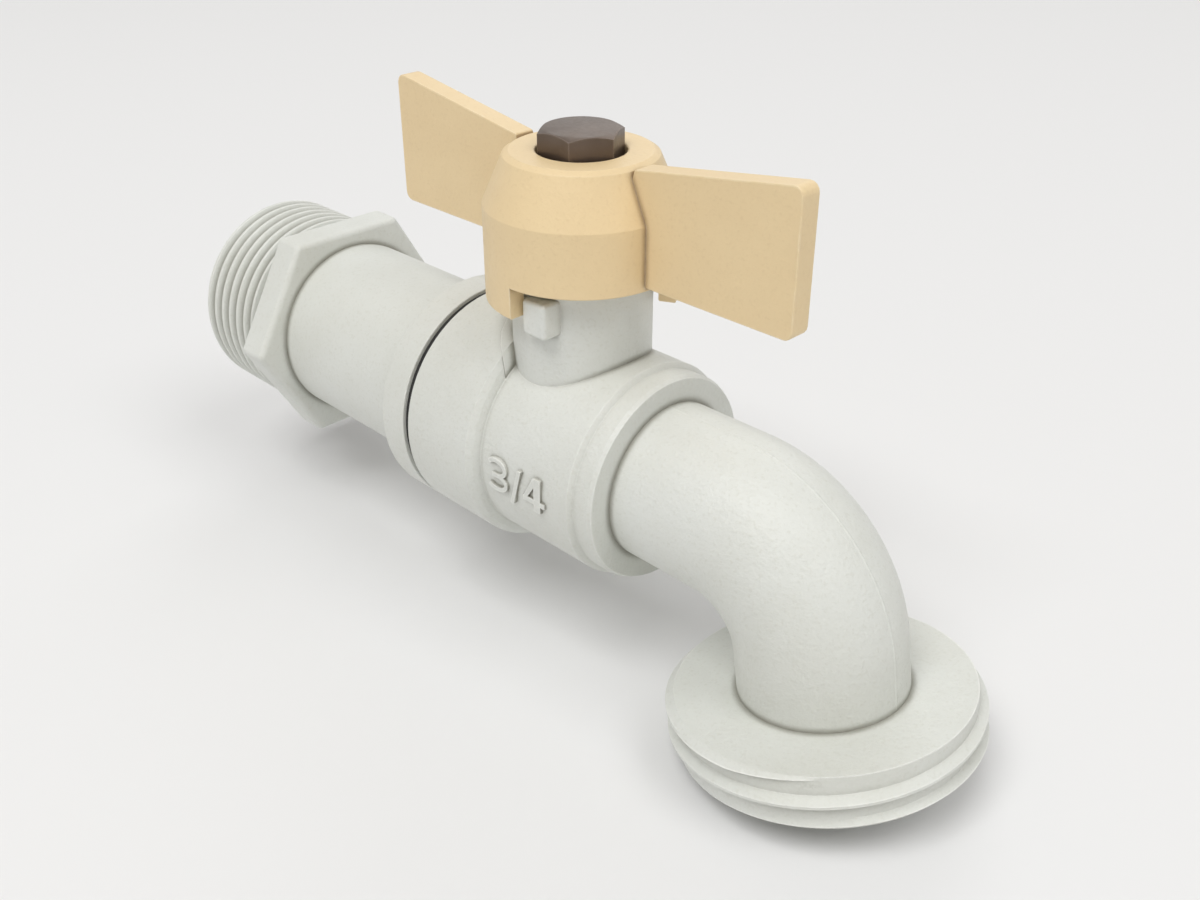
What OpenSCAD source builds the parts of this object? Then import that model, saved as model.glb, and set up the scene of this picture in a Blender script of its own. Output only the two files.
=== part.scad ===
// Quarter-turn garden faucet: a screwed-in inlet adapter, a ball valve body cast in
// one piece with its bent spout, and a butterfly handle with a stop skirt.
// +X runs from the inlet to the spout, +Z runs up along the stem, and the origin is the
// centre of the inlet's end face. The handle is drawn in its open position.

/* [Inlet adapter] */
// Outside diameter of the pipe thread on the inlet
inlet_thread_d = 26.44; // [26.3:0.02:26.6]
// Length of the inlet thread
inlet_thread_l = 13.2; // [11:0.2:15]
// Width of the hexagon across its flats
hex_af = 27; // [26.8:0.1:28]
// Thickness of the hexagon
hex_t = 4.3; // [3.5:0.1:5.5]
// Diameter of the plain neck
neck_d = 22.8; // [21:0.1:24]
// Length of the plain neck
neck_l = 24.3; // [20:0.1:28]
// Length of the collar that meets the body
collar_l = 4; // [3:0.1:5]
// Diameter of the water passage in the adapter
inlet_bore_d = 16; // [14:0.1:16.5]
// Diameter of the nose that screws into the body
nose_d = 24; // [23.4:0.1:24.4]

/* [Body] */
// Outside diameter of the collar and of the body beside it
big_d = 28; // [27.6:0.1:29]
// Outside diameter of the barrel around the ball
barrel_d = 25; // [24.4:0.1:25.6]
// Distance from the body's inlet face to the stem axis
face_to_stem = 15; // [14.6:0.1:16]
// Distance from the end of the large section to the stem axis
shoulder_to_stem = 4.56; // [4:0.02:5]
// Length of the shoulder's small chamfer
shoulder_chamfer_l = 0.6; // [0.4:0.05:0.8]
// Drop of the shoulder's small chamfer
shoulder_chamfer_r = 0.64; // [0.4:0.02:0.8]
// Length of the step down to the barrel
shoulder_step_l = 0.42; // [0.3:0.02:0.6]
// Distance from the stem axis to the outlet rim
stem_to_rim = 10.1; // [9.8:0.1:10.6]
// Step from the barrel down to the outlet rim
rim_step = 0.6; // [0.3:0.1:0.8]
// Length of the step's slope
rim_step_l = 0.45; // [0.3:0.05:0.6]
// Length of the outlet rim, chamfer included
rim_l = 2.5; // [2.3:0.1:3]
// Chamfer on the outlet rim
rim_chamfer = 0.5; // [0.2:0.05:0.7]
// Diameter of the stem boss
boss_d = 15.4; // [15:0.1:15.6]
// Height of the stem boss over the pipe axis
boss_top = 23.5; // [23:0.1:24]
// Diameter of the raised pad beside the boss
pad_d = 18.2; // [17.6:0.1:19]
// Height of the raised pad
pad_h = 0.25; // [0.15:0.05:0.4]

/* [Handle stop] */
// Width of the stop lug
lug_w = 3.35; // [3.2:0.05:3.5]
// Distance from the stem axis to the lug's outer face
lug_reach = 9.2; // [8.9:0.1:9.6]
// Height of the lug's underside
lug_z = 16.3; // [16:0.1:16.7]
// Height of the lug
lug_h = 4; // [3.6:0.05:4.3]

/* [Spout] */
// Outside diameter of the spout
pipe_d = 18; // [17.4:0.1:18.4]
// Diameter of the water passage in the spout
pipe_bore_d = 13.8; // [12.8:0.1:14.2]
// Length of the straight piece before the bend
pipe_l = 9.85; // [8:0.05:12]
// Radius of the bend at the middle of the pipe
bend_r = 12; // [11:0.1:14]
// Angle that the outlet leans forward from straight down
outlet_lean = 10; // [6:0.5:14]
// Length of the straight piece after the bend
outlet_neck_l = 5.2; // [4:0.1:7]

/* [Outlet] */
// Outside diameter of the outlet thread
outlet_thread_d = 33.25; // [32.9:0.05:33.6]
// Height of the threaded outlet collar
outlet_h = 6; // [5.6:0.1:7]
// Chamfer on both edges of the outlet collar
outlet_chamfer = 0.9; // [0.6:0.1:1]
// Diameter of the outlet's mouth
mouth_d = 23; // [21:0.1:24]
// Depth of the outlet's mouth
mouth_depth = 4; // [3.4:0.1:4.2]

/* [Ball and seats] */
// Diameter of the ball
ball_d = 19; // [18.6:0.1:19.2]
// Diameter of the passage through the ball
port_d = 12; // [11:0.1:12.2]
// Width of the drive slot in the ball
slot_w = 3.3; // [3.2:0.05:3.6]
// Depth of the drive slot in the ball
slot_depth = 2.6; // [2.3:0.05:2.7]
// Gap between the ball and the chamber's wall
chamber_gap = 0.9; // [0.7:0.1:1]
// How much smaller than the ball each seat's pocket is
pocket_step = 0.2; // [0.1:0.1:0.5]
// Distance from the ball's centre to each seat's front face
seat_front = 5.6; // [5.4:0.05:5.8]
// Thickness of each seat ring
seat_t = 4.3; // [4:0.05:4.5]
// Thickness of the rubber ring behind each seat
cushion_t = 1.3; // [1.1:0.05:1.4]
// Thickness of the seal between the adapter and the body
seal_t = 0.8; // [0.6:0.05:1]
// Outside diameter of that seal
seal_d = 27; // [26:0.1:27.4]

/* [Stem and packing] */
// Diameter of the stem
stem_d = 7.9; // [7.6:0.05:8]
// Diameter of the stem's inner flange
flange_d = 9.4; // [9:0.1:9.6]
// Thickness of the stem's inner flange
flange_t = 1.5; // [1.3:0.05:1.6]
// Height of the stem's flange over the top of the ball
flange_gap = 0.5; // [0.4:0.05:0.6]
// Width of the stem's drive tang
tang_w = 7; // [6:0.1:7.4]
// Thickness of the thrust washer
thrust_t = 0.8; // [0.6:0.05:0.9]
// Thickness of each rubber ring on the stem
stem_ring_t = 1.04; // [0.9:0.02:1.1]
// Height of the floor of the packing chamber
packing_z = 17.6; // [17.4:0.1:17.8]
// Diameter of the packing chamber
packing_d = 11.3; // [11:0.1:11.5]
// Thickness of each packing ring
packing_t = 1.2; // [1:0.05:1.3]
// Gland nut size across its flats
gland_af = 12; // [11.6:0.1:12.4]
// Thickness of the gland nut's hexagon
gland_head = 2.8; // [2.4:0.1:3]

/* [Handle] */
// Outside diameter of the handle's hub
hub_d = 20.9; // [20.6:0.1:21.4]
// Diameter of the hollow under the hub
hub_hollow_d = 17; // [16.8:0.1:17.4]
// Diameter of the hub's flat top
hub_top_d = 15.1; // [14.4:0.1:15.6]
// Height of the hub's top
hub_top = 34; // [33.8:0.1:34.4]
// Height of the lower end of the hub's cone
cone_z = 28.5; // [28:0.1:29.5]
// Height of the rim at the foot of the hub
rim_z = 21.55; // [21.2:0.05:21.8]
// Height of the foot of the stop skirt
skirt_z = 18.15; // [17.6:0.05:18.8]
// Height of the underside of the hub's web
web_z = 27; // [26.9:0.1:27.3]
// Thickness of the hub's web
web_t = 3.4; // [3:0.1:3.6]
// Diameter of the screw's well in the hub
well_d = 9.5; // [9.4:0.05:10]
// Width across the flats of the stem's square neck
drive_flats = 5.6; // [5.2:0.1:6]
// Length of each wing, from the stem axis
wing_l = 28.9; // [26:0.1:34]
// Thickness of the wings
wing_t = 2.5; // [2:0.1:3.2]
// Height of the wings' lower edge
wing_z = 22; // [21.8:0.1:23]
// Height of the wings' upper edge at their tips
wing_tip_z = 37; // [35:0.1:40]
// Slope of the wings' upper edge
wing_slope = 8.6; // [4:0.2:12]
// Radius of the wings' corners
wing_round = 1; // [0.5:0.1:2]
// Angle the handle turns between open and closed
turn = 90; // [90:1:90]

/* [Handle screw] */
// Diameter of the screw
screw_d = 5; // [5:0.1:5.2]
// Length of the screw under its head
screw_l = 14; // [12:0.5:14]
// Size of the screw's head across its flats
screw_af = 8; // [7.8:0.1:8]
// Height of the screw's head
screw_head = 3.5; // [3:0.1:4]
// Thickness of the flat washer
flat_washer_t = 1; // [0.8:0.1:1.2]
// Thickness of the split lock washer
lock_washer_t = 1.3; // [1:0.1:1.4]

/* [Fits] */
// Radial clearance of the stem in its bore and of the ring seals
stem_clear = 0.05; // [0.03:0.01:0.08]
// Radial clearance between pieces that are screwed or pressed together
screw_clear = 0.05; // [0.03:0.01:0.1]
// Gap between the ball and its seats, and along the stem
turn_gap = 0.3; // [0.25:0.05:0.35]
// Gap between faces that turn on each other
face_gap = 0.1; // [0.05:0.05:0.15]
// Gap between the lug and the skirt at each end of the turn
stop_gap = 0.3; // [0.25:0.05:0.4]

/* [Hidden] */
$fn = 96;
overcut = 1;

// Places along the pipe
hex_x = inlet_thread_l;
neck_x = hex_x + hex_t;
collar_x = neck_x + neck_l;
seal_x = collar_x + collar_l;
body_x = seal_x + seal_t;
stem_x = body_x + face_to_stem;
shoulder_x = stem_x - shoulder_to_stem;
barrel_x = shoulder_x + shoulder_chamfer_l + shoulder_step_l;
rim_x = stem_x + stem_to_rim;
face_x = rim_x + rim_step_l + rim_l;
bend_x = face_x + pipe_l;
rim_d = barrel_d - 2 * rim_step;
outlet_bore_d = pipe_bore_d + 0.4;

// Places across the ball: the pockets end behind the cushion rings
chamber_d = ball_d + 2 * chamber_gap;
pocket_d = ball_d - pocket_step;
seat_back = seat_front + seat_t;
pocket_back = seat_back + cushion_t;
pocket_lip = seat_front + 1;
nose_to_stem = pocket_back - 3;
cushion_r = pocket_d / 2 - cushion_t / 2 - screw_clear;
seat_bore_d = port_d + 0.4;

// Heights along the stem
flange_z = ball_d / 2 + flange_gap;
flange_top = flange_z + flange_t;
thrust_z = flange_top + face_gap;
stem_bore_z = thrust_z + thrust_t;
stem_bore_d = stem_d + 2 * stem_clear;
flange_pocket_d = flange_d + 2 * turn_gap + 0.2;
ring_groove_w = stem_ring_t + 0.5;
ring_groove_d = stem_d - 2 * stem_ring_t;
ring_low_z = stem_bore_z + 0.5;
ring_high_z = packing_z - 0.6 - ring_groove_w;
gland_z = packing_z + 2 * packing_t;
gland_bore_d = stem_d + 4 * stem_clear;
tang_t = slot_w - 2 * face_gap;
tang_z = ball_d / 2 - slot_depth + face_gap * 2;
drive_top = web_z + web_t - 0.2;

// The handle's screw stack
washer_z = web_z + web_t;
lock_z = washer_z + flat_washer_t;
head_z = lock_z + lock_washer_t;
washer_bore_d = screw_d + 0.3;
screw_hole_d = screw_d + 2 * screw_clear;
hub_chamfer = 0.4;
hub_chamfer_d = hub_top_d + 1.3;

// The lug starts just past the stem axis, and the skirt's gap takes the lug and the turn
lug_x = 0.35;
skirt_inner_r = hub_hollow_d / 2;
skirt_start = -90 - asin((stop_gap - lug_x) / skirt_inner_r);
skirt_end = turn - 90 + asin((lug_x + lug_w + stop_gap) / skirt_inner_r);

// Hexagons and cylinders that lie along the pipe, from x onwards
module along_pipe(x) {
    translate([x, 0, 0])
        rotate([0, 90, 0])
            children();
}

module pipe_rod(x, length, d) {
    along_pipe(x) cylinder(d = d, h = length);
}

module ring(z, height, outer_d, inner_d) {
    translate([stem_x, 0, z])
        difference() {
            cylinder(d = outer_d, h = height);
            translate([0, 0, -overcut]) cylinder(d = inner_d, h = height + 2 * overcut);
        }
}

module hexagon(af, height) {
    cylinder(d = af / cos(30), h = height, $fn = 6);
}

// Outside of the body: large section, shoulder, barrel and outlet rim, grown by `grow`
module body_outline(grow) {
    end_r = barrel_d / 2 + grow;
    polygon([
        [0, body_x], [big_d / 2 + grow, body_x], [big_d / 2 + grow, shoulder_x],
        [big_d / 2 - shoulder_chamfer_r + grow, shoulder_x + shoulder_chamfer_l],
        [end_r, barrel_x], [end_r, rim_x], [rim_d / 2 + grow, rim_x + rim_step_l],
        [rim_d / 2 + grow, face_x - rim_chamfer], [rim_d / 2 - rim_chamfer / 2 + grow, face_x],
        [0, face_x]
    ]);
}

module pad() {
    intersection() {
        translate([stem_x, 0, 0]) cylinder(d = pad_d, h = big_d);
        along_pipe(0) rotate_extrude() body_outline(pad_h);
        translate([0, -big_d, 0]) cube([barrel_x, 2 * big_d, 2 * big_d]);
    }
}

module stop_lug() {
    translate([stem_x + lug_x, -lug_reach, lug_z])
        cube([lug_w, lug_reach - boss_d / 4, lug_h]);
}

// The bend is the part of a full ring between straight along the pipe and the outlet's lean
module bend(d) {
    reach = 2 * (bend_r + d);
    translate([bend_x, 0, -bend_r])
        rotate([90, 0, 0])
            intersection() {
                rotate_extrude() translate([bend_r, 0]) circle(d = d);
                translate([0, 0, -d])
                    linear_extrude(2 * d)
                        polygon([
                            [0, 0], [reach * cos(outlet_lean), reach * sin(outlet_lean)],
                            [reach, reach], [0, reach]
                        ]);
            }
}

// The outlet's own frame: its origin is the end of the bend, and water leaves along -Z
module at_outlet() {
    translate([bend_x + bend_r * cos(outlet_lean), 0, bend_r * sin(outlet_lean) - bend_r])
        rotate([0, -outlet_lean, 0])
            children();
}

module outlet_collar() {
    r = outlet_thread_d / 2;
    top = -outlet_neck_l;
    foot = top - outlet_h;
    rotate_extrude()
        polygon([
            [0, top], [r - outlet_chamfer, top], [r, top - outlet_chamfer],
            [r, foot + outlet_chamfer], [r - outlet_chamfer, foot], [0, foot]
        ]);
}

module valve_body() {
    color([0.85, 0.86, 0.82])
        difference() {
            union() {
                along_pipe(0) rotate_extrude() body_outline(0);
                translate([stem_x, 0, 0]) cylinder(d = boss_d, h = boss_top);
                pad();
                stop_lug();
                pipe_rod(face_x - overcut, bend_x - face_x + overcut, pipe_d);
                bend(pipe_d);
                at_outlet() {
                    translate([0, 0, -outlet_neck_l]) cylinder(d = pipe_d, h = outlet_neck_l);
                    outlet_collar();
                }
            }
            pipe_rod(body_x - overcut, stem_x - nose_to_stem - body_x + overcut,
                nose_d + 2 * screw_clear);
            pipe_rod(body_x, stem_x + pocket_lip - body_x, chamber_d);
            pipe_rod(stem_x, pocket_back, pocket_d);
            pipe_rod(stem_x, bend_x - stem_x, pipe_bore_d);
            bend(pipe_bore_d);
            at_outlet() {
                translate([0, 0, -outlet_neck_l - outlet_h - overcut])
                    cylinder(d = outlet_bore_d, h = outlet_neck_l + outlet_h + overcut);
                translate([0, 0, -outlet_neck_l - outlet_h - overcut])
                    cylinder(d = mouth_d, h = mouth_depth + overcut);
            }
            translate([stem_x, 0, 0]) cylinder(d = flange_pocket_d, h = stem_bore_z);
            translate([stem_x, 0, 0]) cylinder(d = stem_bore_d, h = boss_top);
            translate([stem_x, 0, packing_z])
                cylinder(d = packing_d, h = boss_top - packing_z + overcut);
        }
}

module inlet_adapter() {
    thread_r = inlet_thread_d / 2;
    nose_end = stem_x - nose_to_stem;
    color([0.85, 0.86, 0.82])
        difference() {
            union() {
                along_pipe(0)
                    rotate_extrude()
                        polygon([
                            [0, 0], [thread_r, 0], [thread_r, hex_x + overcut],
                            [neck_d / 2, hex_x + overcut],
                            [neck_d / 2, collar_x], [big_d / 2, collar_x],
                            [big_d / 2, seal_x], [nose_d / 2, seal_x],
                            [nose_d / 2, nose_end], [0, nose_end]
                        ]);
                along_pipe(hex_x) rotate([0, 0, 30]) hexagon(hex_af, hex_t);
            }
            pipe_rod(-overcut, stem_x, inlet_bore_d);
            pipe_rod(stem_x - pocket_back, pocket_back, pocket_d);
        }
}

module body_seal_ring() {
    color([0.16, 0.16, 0.16])
        difference() {
            pipe_rod(seal_x, seal_t, seal_d);
            pipe_rod(seal_x - overcut, seal_t + 2 * overcut, nose_d + 2 * screw_clear);
        }
}

module ball() {
    color([0.8, 0.81, 0.83])
        translate([stem_x, 0, 0])
            difference() {
                sphere(d = ball_d);
                pipe_rod(-ball_d, 2 * ball_d, port_d);
                translate([-slot_w / 2, -ball_d, ball_d / 2 - slot_depth])
                    cube([slot_w, 2 * ball_d, ball_d]);
            }
}

// A seat ring hollowed to follow the ball, with `side` -1 at the inlet and 1 at the outlet
module seat(side) {
    color([0.95, 0.95, 0.93])
        translate([stem_x, 0, 0])
            rotate([0, 0, side > 0 ? 0 : 180])
                difference() {
                    pipe_rod(seat_front, seat_t, pocket_d - 2 * screw_clear);
                    pipe_rod(0, seat_back + overcut, seat_bore_d);
                    sphere(d = ball_d + 2 * turn_gap);
                }
}

module seat_inlet() {
    seat(-1);
}

module seat_outlet() {
    seat(1);
}

module cushion(x) {
    color([0.12, 0.12, 0.12])
        along_pipe(x)
            rotate_extrude()
                translate([cushion_r, 0]) circle(d = cushion_t);
}

module seat_cushion_inlet() {
    cushion(stem_x - seat_back - cushion_t / 2);
}

module seat_cushion_outlet() {
    cushion(stem_x + seat_back + cushion_t / 2);
}

module stem() {
    color([0.78, 0.72, 0.5])
        translate([stem_x, 0, 0])
            difference() {
                union() {
                    translate([-tang_t / 2, -tang_w / 2, tang_z])
                        cube([tang_t, tang_w, flange_z - tang_z + flange_t / 2]);
                    translate([0, 0, flange_z]) cylinder(d = flange_d, h = flange_t);
                    translate([0, 0, flange_z]) cylinder(d = stem_d, h = web_z - flange_z);
                    intersection() {
                        translate([0, 0, web_z - overcut])
                            cylinder(d = stem_d, h = drive_top - web_z + overcut);
                        translate([-stem_d, -drive_flats / 2, 0])
                            cube([2 * stem_d, drive_flats, drive_top]);
                    }
                }
                stem_groove(ring_low_z);
                stem_groove(ring_high_z);
                translate([0, 0, head_z - screw_l - overcut / 2])
                    cylinder(d = screw_hole_d, h = drive_top);
            }
}

module stem_groove(z) {
    translate([0, 0, z])
        difference() {
            cylinder(d = stem_d + overcut, h = ring_groove_w);
            cylinder(d = ring_groove_d, h = ring_groove_w);
        }
}

module stem_ring(z) {
    color([0.12, 0.12, 0.12])
        translate([stem_x, 0, z + ring_groove_w / 2])
            rotate_extrude()
                translate([(stem_d - stem_ring_t) / 2, 0]) circle(d = stem_ring_t);
}

module stem_ring_lower() {
    stem_ring(ring_low_z);
}

module stem_ring_upper() {
    stem_ring(ring_high_z);
}

module thrust_washer() {
    color([0.95, 0.95, 0.93])
        ring(thrust_z, thrust_t, flange_pocket_d - 2 * screw_clear, gland_bore_d);
}

module packing_ring(z) {
    color([0.93, 0.93, 0.9])
        ring(z, packing_t, packing_d - 2 * screw_clear, gland_bore_d);
}

module packing_ring_lower() {
    packing_ring(packing_z);
}

module packing_ring_upper() {
    packing_ring(packing_z + packing_t);
}

module gland_nut() {
    color([0.78, 0.72, 0.5])
        translate([stem_x, 0, 0])
            difference() {
                union() {
                    translate([0, 0, gland_z])
                        cylinder(d = packing_d - 2 * screw_clear, h = boss_top - gland_z);
                    translate([0, 0, boss_top]) hexagon(gland_af, gland_head);
                }
                cylinder(d = gland_bore_d, h = hub_top);
            }
}

// Points on a rounded corner at [x, z], from angle a to angle b
function corner(x, z, r, a, b) =
    [for (i = [0:8]) let (t = a + (b - a) * i / 8) [x + r * cos(t), z + r * sin(t)]];

module wing_outline() {
    r = wing_round;
    hub_x = hub_top_d / 2 - 1;
    tip_x = wing_l - r;
    rise = tan(wing_slope);
    polygon(concat(
        [[hub_x, wing_z]],
        corner(tip_x, wing_z + r, r, -90, 0),
        corner(tip_x, wing_tip_z - r, r, 0, 90 + wing_slope),
        [[hub_x, wing_tip_z - (tip_x - hub_x) * rise]]
    ));
}

module wing() {
    translate([0, wing_t / 2, 0])
        rotate([90, 0, 0])
            linear_extrude(wing_t) wing_outline();
}

// A wedge from the stem axis over the angles a to b, less than half a turn wide
module wedge(a, b, height) {
    r = hub_d;
    middle = (a + b) / 2;
    linear_extrude(height)
        polygon([
            [0, 0], [r * cos(a), r * sin(a)], [2 * r * cos(middle), 2 * r * sin(middle)],
            [r * cos(b), r * sin(b)]
        ]);
}

module handle() {
    color([0.87, 0.78, 0.61])
        translate([stem_x, 0, 0])
            difference() {
                union() {
                    rotate_extrude()
                        polygon([
                            [0, skirt_z], [hub_d / 2, skirt_z], [hub_d / 2, cone_z],
                            [hub_chamfer_d / 2, hub_top - hub_chamfer],
                            [hub_top_d / 2, hub_top], [0, hub_top]
                        ]);
                    wing();
                    mirror([1, 0, 0]) wing();
                }
                cylinder(d = hub_hollow_d, h = web_z);
                translate([0, 0, skirt_z - overcut])
                    wedge(skirt_start, skirt_end, rim_z - skirt_z + overcut);
                translate([0, 0, web_z + web_t]) cylinder(d = well_d, h = hub_top);
                intersection() {
                    cylinder(d = stem_d + 2 * screw_clear, h = hub_top);
                    translate([-stem_d, -drive_flats / 2 - screw_clear, 0])
                        cube([2 * stem_d, drive_flats + 2 * screw_clear, hub_top]);
                }
            }
}

module flat_washer() {
    color([0.7, 0.7, 0.68]) ring(washer_z, flat_washer_t, screw_af + 1.2, washer_bore_d);
}

module lock_washer() {
    split = 0.8;
    color([0.55, 0.53, 0.5])
        difference() {
            ring(lock_z, lock_washer_t, screw_af + 0.8, washer_bore_d);
            translate([stem_x - split / 2, 0, lock_z - overcut])
                cube([split, screw_af, lock_washer_t + 2 * overcut]);
        }
}

module handle_screw() {
    color([0.36, 0.31, 0.29])
        translate([stem_x, 0, 0]) {
            translate([0, 0, head_z]) hexagon(screw_af, screw_head);
            translate([0, 0, head_z - screw_l]) cylinder(d = screw_d, h = screw_l + screw_head / 2);
        }
}

valve_body();
inlet_adapter();
body_seal_ring();
ball();
seat_inlet();
seat_outlet();
seat_cushion_inlet();
seat_cushion_outlet();
stem();
stem_ring_lower();
stem_ring_upper();
thrust_washer();
packing_ring_lower();
packing_ring_upper();
gland_nut();
handle();
flat_washer();
lock_washer();
handle_screw();
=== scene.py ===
import bmesh
import bpy
import numpy as np
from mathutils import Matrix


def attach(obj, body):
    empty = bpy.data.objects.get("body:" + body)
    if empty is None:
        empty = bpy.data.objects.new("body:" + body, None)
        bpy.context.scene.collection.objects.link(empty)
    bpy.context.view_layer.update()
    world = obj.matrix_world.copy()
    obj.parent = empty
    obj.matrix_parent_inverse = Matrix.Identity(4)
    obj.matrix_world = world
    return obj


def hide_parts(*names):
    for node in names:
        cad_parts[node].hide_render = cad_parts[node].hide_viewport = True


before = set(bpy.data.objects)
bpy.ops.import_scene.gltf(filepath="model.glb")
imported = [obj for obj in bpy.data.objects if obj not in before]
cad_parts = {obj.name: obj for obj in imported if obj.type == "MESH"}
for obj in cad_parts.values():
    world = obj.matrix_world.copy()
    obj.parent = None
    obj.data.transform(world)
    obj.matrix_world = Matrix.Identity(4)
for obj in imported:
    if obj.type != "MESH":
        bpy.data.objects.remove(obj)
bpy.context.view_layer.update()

# Viewpoint: the eye stands beyond the spout, above it and on its -Y side, and looks
# back and down at the middle of the valve. Its place and lens were fitted to the rims,
# crests and corners that show.
look_down, look_round = 0.5262387, 0.7851112
lens = bpy.data.cameras.new("viewpoint")
lens.sensor_width = 36
lens.lens = 37.716
lens.clip_start = 0.005
camera = bpy.data.objects.new("viewpoint", lens)
camera.location = (0.152467, -0.088215, 0.071854)
camera.rotation_euler = (np.pi / 2 - look_down, 0, look_round)
scene = bpy.context.scene
scene.collection.objects.link(camera)
scene.camera = camera
scene.view_settings.view_transform = "Standard"


# Studio: a plain pale floor just under the outlet and a pale room all round. One broad
# soft lamp hangs in front, a weaker one beyond the spout and a faint one at the back.
class Field:
    """One output of a shader node. Sums, products and the like with numbers or other
    fields add the Math node that works them out."""

    def __init__(self, tree, socket=None):
        self.tree = tree
        self.socket = socket

    def node(self, kind, settings, inputs, out=0):
        """Adds a node of one kind, sets its settings, then its inputs; returns one output."""
        made = self.tree.nodes.new(kind)
        for key, value in settings.items():
            setattr(made, key, value)
        for key, value in inputs.items():
            if isinstance(value, Field):
                self.tree.links.new(value.socket, made.inputs[key])
            else:
                made.inputs[key].default_value = value
        return Field(self.tree, made.outputs[out])

    def show(self, kind):
        """Makes this field the surface of a material or of the room."""
        out = self.tree.nodes.new(kind)
        self.tree.links.new(self.socket, out.inputs["Surface"])

    def math(self, operation, a, b):
        return self.node("ShaderNodeMath", {"operation": operation}, {0: a, 1: b})

    def __add__(self, other):
        return self.math("ADD", self, other)

    __radd__ = __add__

    def __sub__(self, other):
        return self.math("SUBTRACT", self, other)

    def __rsub__(self, other):
        return self.math("SUBTRACT", other, self)

    def __mul__(self, other):
        return self.math("MULTIPLY", self, other)

    __rmul__ = __mul__

    def above(self, low, high):
        """0 under low, 1 over high, and an even slope between."""
        return self.node(
            "ShaderNodeMapRange", {}, {"Value": self, "From Min": low, "From Max": high}
        )

    def tint(self, first, second):
        """A colour between two others, by this field."""
        return self.node(
            "ShaderNodeMix", {"data_type": "RGBA"}, {0: self, 6: first, 7: second}, 2
        )

    def grain(self, place, scale, detail, rough):
        """Noise of so many cells to the metre: 1100 is a cell in 0.9 mm."""
        cells = {"Vector": place, "Scale": scale, "Detail": detail, "Roughness": rough}
        return self.node("ShaderNodeTexNoise", {}, cells)

    def crease(self, reach):
        """How deep a point lies in a fold of its own piece: 0 in the open, 1 shut in."""
        return 1 - self.node(
            "ShaderNodeAmbientOcclusion",
            {"samples": 8, "only_local": True},
            {"Distance": reach},
            "AO",
        )

    def edge(self, radius):
        """How far a point's own normal lies from one smoothed over a radius: 0 on even
        ground, more along edges."""
        soft = self.node("ShaderNodeBevel", {"samples": 6}, {"Radius": radius})
        plain = self.node("ShaderNodeNewGeometry", {}, {}, "Normal")
        return 1 - self.node(
            "ShaderNodeVectorMath", {"operation": "DOT_PRODUCT"}, {0: soft, 1: plain}, "Value"
        )


def blank(made):
    """Clears the nodes of a material or of the room, and gives a field to build from."""
    made.use_nodes = True
    made.node_tree.nodes.clear()
    return Field(made.node_tree)


def ray(base, kind):
    """1 for rays of one kind, such as the eye's own, and 0 for all others."""
    return base.node("ShaderNodeLightPath", {}, {}, f"Is {kind} Ray")


floor_reach, floor_z = 4.0, -0.0242
floor_mesh = bpy.data.meshes.new("floor")
floor_mesh.from_pydata(
    [(x * floor_reach, y * floor_reach, floor_z) for x, y in ((-1, -1), (1, -1), (1, 1), (-1, 1))],
    [],
    [(0, 1, 2, 3)],
)
floor = bpy.data.objects.new("floor", floor_mesh)
scene.collection.objects.link(floor)

# Away from the lamps the paper would darken, so the eye, and only the eye, sees a glow
paper = bpy.data.materials.new("pale_paper")
base = blank(paper)
place = base.node("ShaderNodeTexCoord", {}, {}, "Object")
away = base.node("ShaderNodeVectorMath", {"operation": "LENGTH"}, {0: place}, "Value")
glow = base.node(
    "ShaderNodeMapRange",
    {"interpolation_type": "SMOOTHSTEP"},
    {"Value": away, "From Min": 0.8, "From Max": 3.0, "To Max": 0.47},
)
base.node(
    "ShaderNodeBsdfPrincipled",
    {},
    {
        "Base Color": (0.82, 0.82, 0.82, 1),
        "Roughness": 0.9,
        "Emission Color": glow * ray(base, "Camera"),
        "Emission Strength": 1.0,
    },
).show("ShaderNodeOutputMaterial")
floor_mesh.materials.append(paper)

# The room lights the scene softly; the eye and reflections see it as one even pale tone
room = bpy.data.worlds.new("pale_room")
base = blank(room)
lit = base.node("ShaderNodeBackground", {}, {"Color": (0.98, 0.96, 0.93, 1), "Strength": 0.38})
seen = base.node("ShaderNodeBackground", {}, {"Color": (0.86, 0.86, 0.86, 1)})
shiny = base.math("MAXIMUM", ray(base, "Camera"), ray(base, "Glossy"))
direct = base.math("MAXIMUM", shiny, ray(base, "Transmission"))
base.node("ShaderNodeMixShader", {}, {0: direct, 1: lit, 2: seen}).show("ShaderNodeOutputWorld")
scene.world = room

aim = np.array([0.055, 0, 0])
for lamp_name, spot, side, power in (
    ("key_lamp", (0.18, -0.97, 1.75), 1.00, 21.0),
    ("side_lamp", (1.35, 0.10, 1.70), 1.10, 11.5),
    ("back_lamp", (-0.70, 1.35, 1.30), 1.20, 5.0),
):
    light = bpy.data.lights.new(lamp_name, "AREA")
    light.size = side
    light.energy = power
    lamp = bpy.data.objects.new(lamp_name, light)
    lamp.location = spot
    x, y, z = spot - aim
    lamp.rotation_euler = (np.arctan2(np.hypot(x, y), z), 0, np.arctan2(x, -y))
    scene.collection.objects.link(lamp)

# Inlet adapter: a turned brass piece with a G 3/4 pipe thread, a hexagon for the
# spanner, a plain neck and a collar whose nose screws into the body. It wears the same
# pale grey coat as the body, baked on and then handled.
MM = 0.001
# Points to a rounded corner, the reach of a weld in metres, the turn of a sharp edge
arc_points, weld, sharp_turn = 5, 2e-6, np.radians(33)


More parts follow.
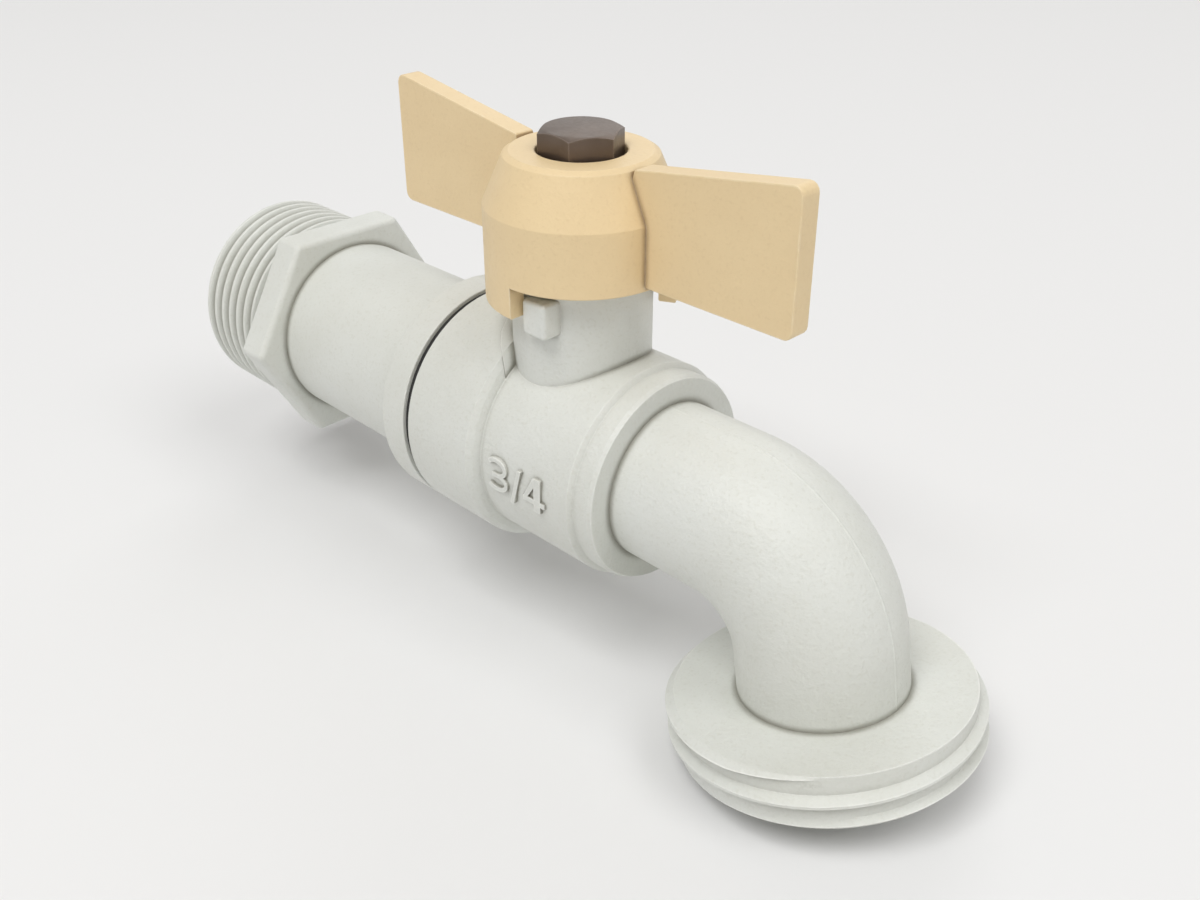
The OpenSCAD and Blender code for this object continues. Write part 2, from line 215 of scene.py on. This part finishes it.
def rounded(corners, radii):
    """A closed path whose corners are arcs. Each arc's centre lies on the corner's middle
    line, radius / sin(half angle) away, and its points turn evenly from side to side."""
    p = np.asarray(corners, float)
    u = np.roll(p, 1, 0) - p
    v = np.roll(p, -1, 0) - p
    u /= np.linalg.norm(u, axis=1)[:, None]
    v /= np.linalg.norm(v, axis=1)[:, None]
    half = np.arccos(np.clip((u * v).sum(1), -1, 1)) / 2
    r = np.broadcast_to(np.asarray(radii, float), half.shape)
    middle = (u + v) / np.linalg.norm(u + v, axis=1)[:, None]
    centre = p + middle * (r / np.sin(half))[:, None]
    start = p + u * (r / np.tan(half))[:, None] - centre
    end = p + v * (r / np.tan(half))[:, None] - centre
    sweep = (np.pi - 2 * half)[:, None, None]
    s = np.linspace(0, 1, arc_points)[None, :, None]
    first, last = np.sin((1 - s) * sweep), np.sin(s * sweep)
    arc = (start[:, None] * first + end[:, None] * last) / np.sin(sweep)
    return (centre[:, None] + arc).reshape(-1, 2)


def around_pipe(along, radius, turn):
    """Points about the pipe axis: x along it, y = r cos t and z = r sin t."""
    x, r, t = np.broadcast_arrays(along, radius, turn)
    return np.stack([x, r * np.cos(t), r * np.sin(t)], -1)


def slab(corners, radii, low, high, low_edge, high_edge, hole=None):
    """A flat plate: its outline moves in by edge * (1 - sin a) while its height climbs
    edge * (1 - cos a), so both rims are quarter rounds. The faces close on the outline's
    middle, or on a round hole. Returns rows of (across, up, height)."""
    p = np.asarray(corners, float)
    side = np.roll(p, -1, 0) - p
    side /= np.linalg.norm(side, axis=1)[:, None]
    inward = np.stack([-side[:, 1], side[:, 0]], 1)
    before = np.roll(inward, 1, 0)
    corner_step = (inward + before) / (1 + (inward * before).sum(1))[:, None]
    a = np.linspace(0, np.pi / 2, arc_points)
    insets = np.concatenate([low_edge * (1 - np.sin(a)), high_edge * (1 - np.sin(a[::-1]))])
    up = low + low_edge * (1 - np.cos(a))
    down = high - high_edge * (1 - np.cos(a[::-1]))
    heights = np.concatenate([up, down])[:, None, None]
    rings = np.stack([
        rounded(p + corner_step * inset, np.maximum(np.asarray(radii, float) - inset, 0))
        for inset in insets
    ])
    rows = np.concatenate([rings, np.broadcast_to(heights, rings.shape[:2] + (1,))], -1)
    if hole is None:
        core = np.broadcast_to(p.mean(0), rings[0].shape)
    else:
        t = np.arctan2(rings[0][:, 1], rings[0][:, 0])
        core = hole * np.stack([np.cos(t), np.sin(t)], 1)
    foot = np.concatenate([core, np.full((len(core), 1), low)], 1)[None]
    cap = np.concatenate([core, np.full((len(core), 1), high)], 1)[None]
    return np.concatenate([foot, rows, cap])


def helix_rows(length, pitch, first, steps, lag):
    """Places along the axis for rows that follow a helix: each step of the ridge's outline
    is carried on by one pitch a turn, and is held between the thread's two ends."""
    turns = np.arange(-2, int(length / pitch) + 2)[:, None]
    places = (first + turns * pitch + np.asarray(steps)[None, :]).reshape(-1, 1)
    return np.clip(places + pitch * lag, 0, length)


def piece(name, grids, material, body, replaced):
    """One object from grids of points, each with the ways it joins up: "along", "across"
    or both. Each cell is a four-sided face. Points that meet are merged, which closes
    the poles, and every shell is then turned to face outwards. The object moves with one
    body and takes the place of the solids that it replaces."""
    points, faces, count = [], [], 0
    for grid, joins in grids:
        rows, columns = grid.shape[:2]
        i = np.arange(rows if "along" in joins else rows - 1)[:, None] * columns
        k = (i + columns) % (rows * columns)
        j = np.arange(columns if "across" in joins else columns - 1)[None, :]
        n = (j + 1) % columns
        faces.append(np.stack([i + j, i + n, k + n, k + j], -1).reshape(-1, 4) + count)
        points.append(grid.reshape(-1, 3) * MM)
        count += rows * columns
    mesh = bpy.data.meshes.new(name)
    mesh.from_pydata(np.concatenate(points).tolist(), [], np.concatenate(faces).tolist())
    work = bmesh.new()
    work.from_mesh(mesh)
    bmesh.ops.remove_doubles(work, verts=work.verts, dist=weld)
    bmesh.ops.dissolve_degenerate(work, edges=work.edges, dist=1e-7)
    bmesh.ops.recalc_face_normals(work, faces=work.faces)
    work.to_mesh(mesh)
    work.free()
    mesh.shade_smooth()
    mesh.set_sharp_from_angle(angle=sharp_turn)
    mesh.materials.append(material)
    made = bpy.data.objects.new(name, mesh)
    scene.collection.objects.link(made)
    level = made.modifiers.new("even_faces", "WEIGHTED_NORMAL")
    level.keep_sharp = True
    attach(made, body)
    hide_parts(*replaced)


def new_finish(name):
    """An empty material, a field to build it from, and the piece's own coordinates."""
    made = bpy.data.materials.new(name)
    base = blank(made)
    return made, base, base.node("ShaderNodeTexCoord", {}, {}, "Object")


def close_finish(base, colour, roughness, height, depth, metallic=0.0):
    """Joins colour, roughness and a relief whose depth is in metres to the shader."""
    relief = base.node("ShaderNodeBump", {}, {"Height": height, "Distance": depth})
    values = {"Base Color": colour, "Roughness": roughness, "Metallic": metallic}
    surface = base.node("ShaderNodeBsdfPrincipled", {}, values | {"Normal": relief})
    surface.show("ShaderNodeOutputMaterial")


def linear(r, g, b):
    """A colour as it is seen on a screen, 0 to 255, turned into light values."""
    c = np.array([r, g, b]) / 255
    c = np.where(c <= 0.04045, c / 12.92, ((c + 0.055) / 1.055) ** 2.4)
    return (*[float(v) for v in c], 1)


def baked_coat(name, colour, cloudy, bare, dust_and_shade, peel_depth):
    """A satin coat baked on metal: fine orange peel, faint clouding, thin rubbed edges
    where it is paler and smoother, and a little dust and painted shade darkening its folds."""
    made, base, place = new_finish(name)
    peel = base.grain(place, 1100, 5, 0.6)
    speck = base.grain(place, 2600, 2, 0.5)
    cloud = base.grain(place, 60, 4, 0.6)
    patches = base.grain(place, 420, 4, 0.6)
    rubbed = (base.edge(0.0003) * 9.0 * patches.above(0.30, 0.60)).above(0.08, 0.8)
    # Folds are darkened by how deep they lie in the piece's own shape: part dust, part painted
    # shade
    fold_dust_and_shade = base.crease(0.0011).above(0.10, 0.46) * (0.8 + 0.4 * patches)
    mottled = (cloud.above(0.30, 0.72) * 0.8 + speck.above(0.55, 0.75) * 0.6).above(0, 1)
    tone = mottled.tint(colour, cloudy)
    tone = (rubbed * 0.75).tint(tone, bare)
    # The darker tone in the folds is painted shade as well as dust
    tone = (fold_dust_and_shade * 0.85).tint(tone, dust_and_shade)
    rough = 0.34 + 0.12 * cloud + 0.08 * peel - 0.10 * rubbed + 0.35 * fold_dust_and_shade
    close_finish(base, tone, rough, peel + 0.35 * speck, peel_depth)
    return made


pale_grey, clouded_grey = linear(221, 223, 218), linear(211, 212, 204)
# The darkest grey is dust and painted shade for the coat's folds
rubbed_grey, dust_and_shade_grey = linear(243, 243, 239), linear(132, 130, 117)
adapter_coat = baked_coat(
    "adapter_coat", pale_grey, clouded_grey, rubbed_grey, dust_and_shade_grey, 0.00007
)

# Along the pipe: thread, hexagon, neck, collar, and the nose inside the body
thread_l, hex_l, collar_x, seal_x, pocket_x, nose_x = 13.2, 4.3, 41.8, 45.8, 50.4, 53.4
neck_r, collar_r, nose_r, pocket_r, adapter_bore_r = 11.4, 14.0, 12.0, 9.4, 8.0
thread_r, thread_root_r, thread_pitch = 13.22, 12.06, 1.814
shank = rounded(
    [
        (thread_l, thread_root_r), (thread_l + 0.5, neck_r), (collar_x, neck_r),
        (collar_x, collar_r), (seal_x, collar_r), (seal_x, nose_r), (nose_x, nose_r),
        (nose_x, pocket_r), (pocket_x, pocket_r), (pocket_x, adapter_bore_r),
        (0.0, adapter_bore_r), (0.0, 12.3),
    ],
    [0, 0.3, 0.3, 0.25, 0.16, 0.05, 0.2, 0.2, 0.1, 0.1, 0.5, 0.1],
)
lag = np.linspace(0, 1, 193)
shank_grid = around_pipe(shank[:, 0][:, None], shank[:, 1][:, None], 2 * np.pi * lag)

# One turn of the thread: crest, flank, root and flank, each rounded into the next. It
# fades out over half a pitch before the hexagon, and its start is chamfered.
steps = np.array([0.0, 0.12, 0.26, 0.40, 0.78, 0.86, 1.04, 1.12, 1.50, 1.64, 1.76])
depths = np.array([0.0, 0.0, 0.04, 0.22, 0.94, 1.0, 1.0, 0.94, 0.22, 0.04, 0.0])
fade_end, fade_l, chamfer_r, chamfer_slope = 0.4, 0.9, 12.9, 1.2
thread_x = helix_rows(thread_l, thread_pitch, 0.0, steps, lag)
unrolled = thread_x - thread_pitch * lag
depth = np.interp(unrolled % thread_pitch, steps, depths, period=thread_pitch)
depth = 1 - (1 - depth) * np.clip((thread_l - fade_end - thread_x) / fade_l, 0, 1)
thread = thread_r - (thread_r - thread_root_r) * depth
thread = np.minimum(thread, chamfer_r + chamfer_slope * thread_x)
thread_grid = around_pipe(thread_x, thread, 2 * np.pi * lag)

hex_half = 13.5
hex_corner_r = hex_half / np.cos(np.pi / 6)
hex_turn = np.radians([0, 60, 120, 180, 240, 300])
hex_rows = slab(
    hex_corner_r * np.stack([np.cos(hex_turn), np.sin(hex_turn)], 1), radii=0.9,
    low=thread_l, high=thread_l + hex_l, low_edge=0.2, high_edge=0.8, hole=9.7,
)
hex_grid = np.stack([hex_rows[..., 2], hex_rows[..., 0], hex_rows[..., 1]], -1)
piece(
    "inlet_adapter_turned",
    [
        (np.concatenate([shank_grid, thread_grid]), ["along"]),
        (hex_grid, ["along", "across"]),
    ],
    adapter_coat, body="body", replaced=["inlet_adapter"],
)

# Valve body: one brass casting of the barrel around the ball, the stem boss with its
# stop lug and pad, and the spout, which bends down to the threaded outlet collar.
body_coat = baked_coat(
    "body_coat", pale_grey, clouded_grey, rubbed_grey, dust_and_shade_grey, 0.00013
)

# Barrel: from the seal over the shoulder to the rim, and back through its bores
stem_x, front_x, shoulder_x, rim_x, back_x = 61.6, 46.68, 57.04, 71.7, 74.65
shoulder_r, barrel_r, rim_r = 14.0, 12.5, 11.9
socket_x, chamber_x, seat_x = 53.45, 68.2, 72.8
socket_r, chamber_r, throat_r = 12.05, 10.4, 7.6
shoulder = [(shoulder_x, shoulder_r), (shoulder_x + 0.6, 13.36), (shoulder_x + 1.02, barrel_r)]
barrel = rounded(
    [
        (front_x, shoulder_r), *shoulder, (rim_x, barrel_r), (rim_x + 0.45, rim_r),
        (back_x - 0.5, rim_r), (back_x, rim_r - 0.25), (back_x, throat_r),
        (seat_x, throat_r), (seat_x, pocket_r), (chamber_x, pocket_r),
        (chamber_x, chamber_r), (socket_x, chamber_r), (socket_x, socket_r),
        (front_x, socket_r),
    ],
    [0.24, 0.12, 0.1, 0.2, 0.1, 0.1, 0.12, 0.1, 0.1, 0.1, 0.1, 0.1, 0.1, 0.1, 0.1, 0.1],
)
turn = np.linspace(0, 2 * np.pi, 192, endpoint=False)
barrel_grid = around_pipe(barrel[:, 0][:, None], barrel[:, 1][:, None], turn)


def around_stem(radius, height, turn):
    """Points about the stem axis: x = r cos t and y = r sin t from that axis, z = height."""
    r, z, t = np.broadcast_arrays(radius, height, turn)
    return np.stack([stem_x + r * np.cos(t), r * np.sin(t), z], -1)


# Boss: its foot follows the middle of the barrel's wall, z = sqrt(11.4^2 - y^2)
boss_r, boss_top, gland_r, packing_r, packing_z = 7.7, 23.5, 5.65, 4.0, 17.6
flange_pocket_r, flange_pocket_z, wall_middle_r = 5.2, 12.4, 11.4
boss = rounded(
    [
        (boss_r, 0.0), (boss_r, boss_top), (gland_r, boss_top), (gland_r, packing_z),
        (packing_r, packing_z), (packing_r, flange_pocket_z),
        (flange_pocket_r, flange_pocket_z), (flange_pocket_r, 0.0),
    ],
    [0, 0.3, 0.2, 0, 0, 0, 0, 0],
)
row_r, row_z = boss[:, :1], boss[:, 1:]
wall_middle = np.sqrt(wall_middle_r**2 - (row_r * np.sin(turn)) ** 2)
boss_grid = around_stem(row_r, np.maximum(row_z, wall_middle), turn)

# Spout: a circle carried along the pipe axis, round the bend and down the neck. Places
# on its middle line are the ends of the bend and of the neck, and the collar's foot.
spout_x, bend_x, bend_r, lean = 72.9, 84.5, 12.0, np.radians(80)
straight_l, outlet_neck_l, outlet_collar_l = bend_x - spout_x, 5.2, 6.0
bend_s = straight_l + bend_r * lean
collar_s = bend_s + outlet_neck_l
foot_s = collar_s + outlet_collar_l


def along_spout(s, radius, turn):
    """Circles on the spout's middle line: straight along x, then round the bend by
    (s - straight) / bend radius, then straight on. Turn 0 is the outer side of the bend."""
    phi = np.clip((s - straight_l) / bend_r, 0, lean)
    ahead = np.maximum(s - bend_s, 0) - np.maximum(straight_l - s, 0)
    cx = bend_x + bend_r * np.sin(phi) + ahead * np.cos(phi)
    cz = bend_r * (np.cos(phi) - 1) - ahead * np.sin(phi)
    out, side = radius * np.cos(turn), radius * np.sin(turn)
    x, z = cx + out * np.sin(phi), cz + out * np.cos(phi)
    return np.stack(np.broadcast_arrays(x, side, z), -1)


def stretch(s0, s1, r, count):
    """Evenly spaced rows of one radius between two places on the middle line."""
    return np.stack([np.linspace(s0, s1, count), np.full(count, float(r))], 1)


# Columns run clockwise seen from above, from the tip of the collar's ridge once round,
# and lie closer where the mould's halves met: in the middle plane, at 0 and 180 degrees
ridge_tip = -52
seam_lags = [(ridge_tip + middle) / 360 for middle in (360, 180)]
lag = np.unique(np.concatenate([lag, *[s + np.linspace(-0.003, 0.003, 9) for s in seam_lags]]))
clockwise = np.radians(ridge_tip) - 2 * np.pi * lag

# The ridge falls by one pitch a turn: flat root, wide upper flank, crest, underside. It
# grows from nothing over a tenth of a turn and runs out at both ends of the collar.
root_r, crest_r, ridge_pitch, ridge_first = 15.72, 16.62, 2.82, -0.75
ridge_steps = np.array([0.0, 0.68, 0.98, 1.36])
ridge_rise = np.array([0.0, 1.0, 1.0, 0.0])
ridge_s = helix_rows(outlet_collar_l, ridge_pitch, ridge_first, ridge_steps, lag)
unrolled = ridge_s - ridge_first - ridge_pitch * lag
rise = np.interp(unrolled % ridge_pitch, ridge_steps, ridge_rise, period=ridge_pitch)
rise = rise * np.clip((np.floor(unrolled / ridge_pitch) + lag) / 0.10, 0, 1)
ends = np.minimum(1.8 * ridge_s, 0.9 * (outlet_collar_l - ridge_s))
ridge_r = np.minimum(root_r + (crest_r - root_r) * rise, root_r + ends)

# The mould left a fine raised line on the pipe: height * exp(-(distance / width)^2)
pipe_r, seam_h, seam_w = 9, 0.06, 0.11
seam = seam_h * np.exp(-((np.sin(clockwise) * pipe_r / seam_w) ** 2))
pipe = np.concatenate([
    stretch(0, straight_l, pipe_r, 4), stretch(straight_l, bend_s, pipe_r, 48),
    stretch(bend_s + 0.2, collar_s, pipe_r, 3),
])
bore_r, outlet_bore_r, mouth_r, mouth_l = 6.9, 7.1, 11.5, 4
mouth = rounded(
    [
        (foot_s, root_r - 0.3), (foot_s, mouth_r), (foot_s - mouth_l, mouth_r),
        (foot_s - mouth_l, outlet_bore_r), (foot_s - 2 * mouth_l, outlet_bore_r),
    ],
    [0, 0.4, 0.3, 0.3, 0],
)[:-arc_points]
inner = np.concatenate([
    stretch(bend_s + 0.2, bend_s + 0.1, outlet_bore_r, 2),
    stretch(bend_s, straight_l, bore_r, 40), stretch(straight_l - 0.5, 0, bore_r, 3),
])
spout_grid = np.concatenate([
    along_spout(pipe[:, :1], pipe[:, 1:] + seam, clockwise),
    along_spout(np.array([[collar_s]]), root_r - 0.15, clockwise),
    along_spout(collar_s + ridge_s, ridge_r, clockwise),
    along_spout(mouth[:, :1], mouth[:, 1:], clockwise),
    along_spout(inner[:, :1], inner[:, 1:], clockwise),
])

# Stop lug: a block with round edges, cast onto the boss's near side
lug_left, lug_right, lug_low, lug_high, lug_root, lug_face = 61.95, 65.3, 16.3, 20.3, 6.2, 9.2
lug_rows = slab(
    [(lug_left, lug_low), (lug_right, lug_low), (lug_right, lug_high), (lug_left, lug_high)],
    radii=0.5, low=lug_root, high=lug_face, low_edge=0.1, high_edge=0.5,
)
lug_grid = np.stack([lug_rows[..., 0], -lug_rows[..., 2], lug_rows[..., 1]], -1)

# Pad: a thin raised patch beside the boss, a circle about the stem axis, that follows
# the shoulder's outline. Its rows lie closer over the shoulder's two slopes.
pad_x = np.array([52.55, 53.2, 54.5, 56.0, 57.04, 57.3, 57.64, 57.85, 58.06])
pad_reach, pad_rise, pad_sink = 9.1, 0.25, 0.4
outline_x, outline_r = np.array([(46.6, shoulder_r), *shoulder]).T
pad_half = np.sqrt(np.maximum(pad_reach**2 - (pad_x - stem_x) ** 2, 0))
pad_y = pad_half[:, None] * np.linspace(-1, 1, 41)
pad_r = np.interp(pad_x, outline_x, outline_r)[:, None]
lay_x = np.broadcast_to(pad_x[:, None], pad_y.shape)
pad_up = np.stack([lay_x, pad_y, np.sqrt((pad_r + pad_rise) ** 2 - pad_y**2)], -1)
pad_down = np.stack([lay_x, pad_y, np.sqrt((pad_r - pad_sink) ** 2 - pad_y**2)], -1)


def closed(rows):
    """Adds a pole at the middle of the first row and of the last."""
    first, last = (np.broadcast_to(row.mean(0), row.shape)[None] for row in (rows[0], rows[-1]))
    return np.concatenate([first, rows, last])


pad_grid = closed(np.concatenate([pad_up, pad_down[:, ::-1]], 1))

# Size mark 3/4: plain raised figures on the barrel's side, cut square at their ends
mark_root, mark_face, mark_edge, stroke_w = 11.9, 12.78, 0.06, 0.54


def ribbon(path, face):
    """A flat stroke: each point of its middle line gives one square section, half a width
    to either side and from inside the barrel out to the figures' face."""
    path = np.asarray(path, float)
    ahead = np.gradient(path, axis=0)
    ahead /= np.linalg.norm(ahead, axis=1)[:, None]
    side = np.stack([-ahead[:, 1], ahead[:, 0]], 1) * stroke_w / 2
    low = face - mark_edge
    section = [(1, mark_root), (1, low), (0.9, face), (-0.9, face), (-1, low), (-1, mark_root)]
    return closed(np.stack([
        np.concatenate([path + side * across, np.full((len(path), 1), depth)], 1)
        for across, depth in section
    ], 1))


def bow(x, z, rx, rz, start, end):
    """An arc of an ellipse about (x, z), from one angle to another in degrees."""
    a = np.radians(np.linspace(start, end, 22))
    return np.stack([x + rx * np.cos(a), z + rz * np.sin(a)], 1)


# Strokes that cross stand a few thousandths apart in height, so that no faces coincide
bow_step, plate_step = 0.007, 0.006
upper_bow = [*bow(60.95, 0.98, 1.38, 0.94, 146, -84), (60.5, 0.03), (60.3, 0.03)]
lower_bow = bow(60.97, -0.80, 1.50, 0.86, 80, -144)
strokes = [ribbon(upper_bow, mark_face), ribbon(lower_bow, mark_face - bow_step)]
plates = [
    [(63.14, -2.38), (63.71, -2.38), (64.96, 2.08), (64.39, 2.08)],
    [(66.95, -1.87), (67.98, -1.87), (67.98, 2.18), (66.95, 2.18)],
    [(65.25, -1.05), (68.62, -1.05), (68.62, -0.42), (65.25, -0.42)],
    [(65.25, -0.62), (65.88, -0.62), (67.02, 1.08), (67.02, 2.16), (66.84, 2.16)],
]
strokes += [
    slab(
        plate, radii=0.02, low=mark_root, high=mark_face - plate_step * k, low_edge=0.02,
        high_edge=mark_edge,
    )
    for k, plate in enumerate(plates)
]
mark = [(np.stack([row[..., 0], -row[..., 2], row[..., 1]], -1), ["across"]) for row in strokes]

piece(
    "valve_body_casting",
    [
        (barrel_grid, ["along", "across"]), (boss_grid, ["along", "across"]),
        (spout_grid, ["along"]), (lug_grid, ["across"]), (pad_grid, ["across"]), *mark,
    ],
    body_coat, body="body", replaced=["valve_body"],
)

# Handle: a painted butterfly handle in one casting. Its hub is a hollow cup that tapers
# to a flat top with a well for the screw, its foot is cut away over the stop's travel,
# and two flat wings stand along the pipe.
# Its last colour is dust and painted shade for the handle's folds
handle_paint = baked_coat(
    "handle_paint", linear(233, 209, 165), linear(226, 201, 157), linear(246, 234, 208),
    linear(138, 108, 70), 0.00006,
)

hub_r, hub_top_z, skirt_z, notch_z, cone_z = 10.45, 34.0, 18.15, 21.55, 28.5
hollow_r, hollow_z, well_r, well_z, eye_r = 8.5, 27.0, 4.75, 30.4, 3.98
hub = rounded(
    [
        (hub_r, skirt_z), (hub_r, cone_z), (8.2, 33.6), (7.55, hub_top_z),
        (well_r, hub_top_z), (well_r, well_z), (eye_r, well_z), (eye_r, hollow_z),
        (hollow_r, hollow_z), (hollow_r, skirt_z),
    ],
    [0.2, 0.4, 0.2, 0.2, 0.25, 0.1, 0.05, 0.05, 0.3, 0.2],
)
# Each of the notch's two walls stands between a pair of columns close together
notch, wall_turn = np.radians([-89.66, 28.07]), 2e-4
even_turn = np.linspace(-np.pi, np.pi, 180, endpoint=False) + 0.0007
hub_turn = np.sort(np.concatenate([even_turn, notch - wall_turn, notch + wall_turn]))
lift = np.where((hub_turn > notch[0]) & (hub_turn < notch[1]), notch_z - skirt_z, 0.0)
row_r, row_z = hub[:, :1], hub[:, 1:]
hub_grid = around_stem(row_r, row_z + (row_z < notch_z - 1) * lift, hub_turn)

wing_root, wing_tip, wing_low, wing_high, wing_half = 8.7, 28.9, 22.0, 37.0, 1.25
top_fall = np.tan(np.radians(8.6)) * (wing_tip - wing_root)
wing_rows = slab(
    [
        (9.9, wing_low), (wing_tip, wing_low), (wing_tip, wing_high),
        (wing_root, wing_high - top_fall), (8.15, 32.4),
    ],
    radii=[0.01, 1.0, 1.0, 0.35, 0.01], low=-wing_half, high=wing_half, low_edge=0.12,
    high_edge=0.12,
)
wings = [
    (np.stack([stem_x + way * wing_rows[..., 0], wing_rows[..., 2], wing_rows[..., 1]], -1),
     ["across"])
    for way in (1, -1)
]
piece(
    "butterfly_handle",
    [(hub_grid, ["along", "across"]), *wings],
    handle_paint, body="turning_set", replaced=["handle"],
)


# Handle screw: a hexagon screw of browned steel that holds the handle down on the stem.
# Its head is turned to a cone at the corners, and its shank runs down into the stem.
def browned_steel(name, colour, worn):
    """Oxide-browned steel: dark and satin, with a fine grain and brighter edges."""
    made, base, place = new_finish(name)
    fine = base.grain(place, 2400, 3, 0.5)
    cloud = base.grain(place, 260, 3, 0.6)
    rubbed = (base.edge(0.0003) * 7.0 * (0.5 + cloud)).above(0.2, 1.2)
    tone = (cloud * 0.35 + rubbed * 0.5).above(0.15, 0.9).tint(colour, worn)
    close_finish(base, tone, 0.30 + 0.16 * fine, fine, 0.000008, 0.7)
    return made


screw_steel = browned_steel("screw_steel", linear(98, 85, 75), linear(146, 132, 122))
head_z, head_top, head_half, crown_r, crown_slope = 32.7, 36.2, 4.0, 3.88, 0.55
head_turn = np.linspace(0, 2 * np.pi, 96, endpoint=False)
head_r = head_half / np.cos(head_turn % (np.pi / 3) - np.pi / 6)
crown_z = head_top - (head_r - crown_r) * crown_slope
head_rows = [
    (0.0, head_z), (head_r * 0.94, head_z), (head_r, head_z + 0.15), (head_r, crown_z),
    (crown_r, head_top), (0.0, head_top),
]
shank_r, shank_tip, shank_top = 2.5, 18.7, 33.0
shank_rows = [
    (0.0, shank_tip), (shank_r - 0.3, shank_tip), (shank_r, shank_tip + 0.3),
    (shank_r, shank_top), (0.0, shank_top),
]
piece(
    "hexagon_screw",
    [
        (np.stack([around_stem(r, z, head_turn) for r, z in rows]), ["across"])
        for rows in (head_rows, shank_rows)
    ],
    screw_steel, body="turning_set", replaced=["handle_screw"],
)


# Inner pieces: the chromed ball between its white seats, the rubber rings, the brass
# stem with its packing and gland nut, and the steel washers under the screw. They keep
# the solids' shapes, and get their finishes here.
def bright_metal(name, colour, dull, rough):
    """Turned or plated metal: a very fine grain and a little tarnish in patches."""
    made, base, place = new_finish(name)
    fine = base.grain(place, 3000, 2, 0.5)
    patches = base.grain(place, 240, 4, 0.6)
    tone = patches.above(0.35, 0.75).tint(colour, dull)
    close_finish(base, tone, rough + 0.14 * patches, fine, 0.000006, 1.0)
    return made


def moulded(name, colour, second, rough, relief):
    """Moulded rubber or plastic: one even colour with faint clouding and a fine skin."""
    made, base, place = new_finish(name)
    fine = base.grain(place, 1800, 3, 0.6)
    cloud = base.grain(place, 200, 3, 0.5)
    tone = cloud.above(0.3, 0.7).tint(colour, second)
    close_finish(base, tone, rough + 0.1 * fine, fine, relief)
    return made


rubber = moulded("seal_rubber", linear(30, 30, 30), linear(42, 41, 40), 0.62, 0.00003)
plastic = moulded("seat_plastic", linear(236, 235, 228), linear(226, 224, 216), 0.38, 0.00001)
chrome = bright_metal("ball_chrome", linear(222, 224, 226), linear(204, 206, 208), 0.10)
brass = bright_metal("stem_brass", linear(214, 180, 104), linear(188, 150, 84), 0.26)
zinc = bright_metal("washer_steel", linear(184, 186, 188), linear(160, 160, 158), 0.30)
for finish, node_names in (
    (rubber, ["body_seal_ring", "seat_cushion_inlet", "seat_cushion_outlet"]),
    (rubber, ["stem_ring_lower", "stem_ring_upper"]),
    (plastic, ["seat_inlet", "seat_outlet", "thrust_washer"]),
    (plastic, ["packing_ring_lower", "packing_ring_upper"]),
    (chrome, ["ball"]),
    (brass, ["stem", "gland_nut"]),
    (zinc, ["flat_washer", "lock_washer"]),
):
    for node_name in node_names:
        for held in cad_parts[node_name].material_slots:
            held.material = finish
